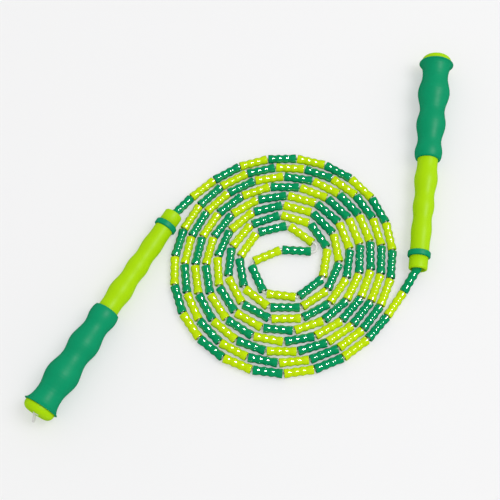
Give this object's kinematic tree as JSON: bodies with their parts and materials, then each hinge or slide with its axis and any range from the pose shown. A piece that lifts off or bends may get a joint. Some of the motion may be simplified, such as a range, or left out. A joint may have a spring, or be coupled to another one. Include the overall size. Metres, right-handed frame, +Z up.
{
  "type": "jump rope",
  "caption": "Beaded jump rope: green and lime beads on a limp white cord, laid in a flat double coil, with two wavy handles that turn freely on the cord's knotted ends.",
  "frame": {"origin": "middle of the box round both handles, on the floor that the rope lies on", "axes": "+X towards the right handle's side, the longest extent; +Y towards the right handle's rear end; +Z up from the floor"},
  "size_m": [0.3708, 0.3442, 0.031],
  "materials": {
    "lime_plastic": "smooth moulded plastic, semi-gloss",
    "green_rubber": "smooth soft grip rubber, satin",
    "green_bead": "glossy moulded plastic",
    "lime_bead": "glossy moulded plastic",
    "white_cord": "braided nylon cord",
    "steel": "zinc plated, dull"
  },
  "bodies": {
    "rope": {"main_cord": "white_cord", "left_dark_beads_1": "green_bead", "left_dark_beads_2": "green_bead", "left_dark_beads_3": "green_bead", "left_dark_beads_4": "green_bead", "left_lime_beads_1": "lime_bead", "left_lime_beads_2": "lime_bead", "left_lime_beads_3": "lime_bead", "left_lime_beads_4": "lime_bead", "right_dark_beads_1": "green_bead", "right_dark_beads_2": "green_bead", "right_dark_beads_3": "green_bead", "right_dark_beads_4": "green_bead", "right_lime_beads_1": "lime_bead", "right_lime_beads_2": "lime_bead", "right_lime_beads_3": "lime_bead", "right_lime_beads_4": "lime_bead", "centre_dark_beads": "green_bead", "centre_lime_beads": "lime_bead"},
    "left_first_bead": {"left_lead_bead": "green_bead"},
    "left_cord_end": {"left_inner_cord": "white_cord", "left_stop_washer": "steel", "left_knot": "white_cord"},
    "left_handle": {"left_handle_tube": "lime_plastic", "left_grip_sleeve": "green_rubber", "left_end_cap": "lime_plastic", "left_collar_ring": "green_rubber", "left_nose_ferrule": "lime_plastic"},
    "right_first_bead": {"right_lead_bead": "green_bead"},
    "right_cord_end": {"right_inner_cord": "white_cord", "right_stop_washer": "steel", "right_knot": "white_cord"},
    "right_handle": {"right_handle_tube": "lime_plastic", "right_grip_sleeve": "green_rubber", "right_end_cap": "lime_plastic", "right_collar_ring": "green_rubber", "right_nose_ferrule": "lime_plastic"}
  },
  "joints": [
    {"name": "left_bead_spin", "type": "hinge", "parent": "rope", "child": "left_first_bead", "pos_m": [-0.06997, 0.01197, 0.00967], "axis": [-0.6066, -0.7631, 0.2232], "continuous": true},
    {"name": "left_handle_swing", "type": "hinge", "parent": "rope", "child": "left_cord_end", "pos_m": [-0.06997, 0.01197, 0.00967], "axis": [0, 0, 1], "range_deg": [-35, 0]},
    {"name": "left_handle_spin", "type": "hinge", "parent": "left_cord_end", "child": "left_handle", "pos_m": [-0.06997, 0.01197, 0.00967], "axis": [-0.5148, -0.8568, 0.0295], "continuous": true},
    {"name": "right_bead_spin", "type": "hinge", "parent": "rope", "child": "right_first_bead", "pos_m": [0.14253, -0.03553, 0.00967], "axis": [0.5129, 0.8285, 0.225], "continuous": true},
    {"name": "right_handle_swing", "type": "hinge", "parent": "rope", "child": "right_cord_end", "pos_m": [0.14253, -0.03553, 0.00967], "axis": [0, 0, 1], "range_deg": [-52, 3]},
    {"name": "right_handle_spin", "type": "hinge", "parent": "right_cord_end", "child": "right_handle", "pos_m": [0.14253, -0.03553, 0.00967], "axis": [0.1391, 0.9898, 0.0295], "continuous": true}
  ]
}
